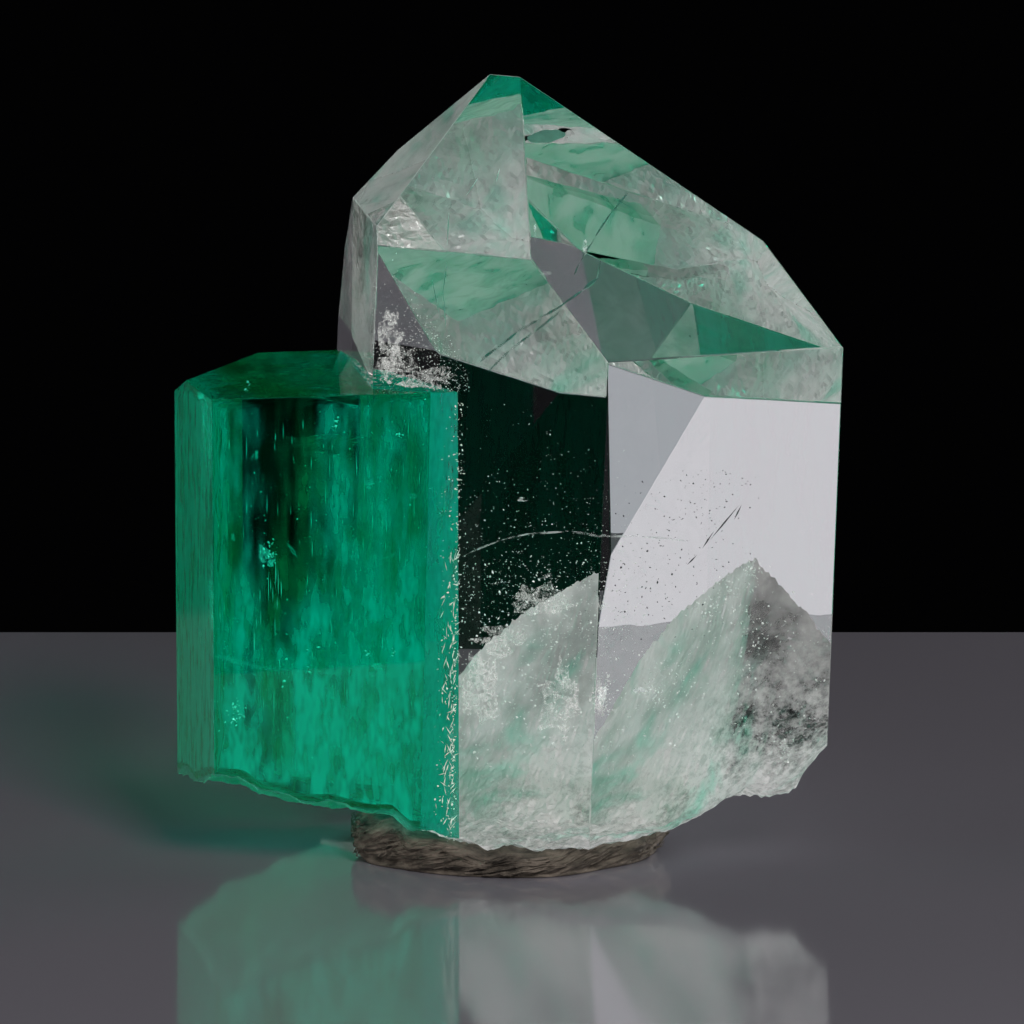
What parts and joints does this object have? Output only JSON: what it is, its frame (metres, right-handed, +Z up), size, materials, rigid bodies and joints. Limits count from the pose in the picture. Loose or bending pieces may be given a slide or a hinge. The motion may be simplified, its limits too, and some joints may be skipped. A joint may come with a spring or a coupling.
{
  "type": "emerald crystal in quartz matrix",
  "caption": "Thumbnail mineral specimen: a green emerald prism grown into the corner of a clear, pointed quartz crystal, standing on a pad of grey putty.",
  "frame": {"origin": "centre of the putty pad's flat underside, on the table", "axes": "+Z up, close to the quartz crystal's long axis; -Y towards the viewer of the picture; +X to the viewer's right"},
  "size_m": [0.0227, 0.0164, 0.0267],
  "materials": {
    "quartz": "clear natural crystal faces, milky and rough on the broken base",
    "emerald": "glossy bluish green, with fine growth lines and internal veils",
    "putty": "dull, fibrous and pulled"
  },
  "bodies": {
    "root": {"quartz_crystal": "quartz", "emerald_crystal": "emerald", "putty_pad": "putty"}
  },
  "joints": []
}
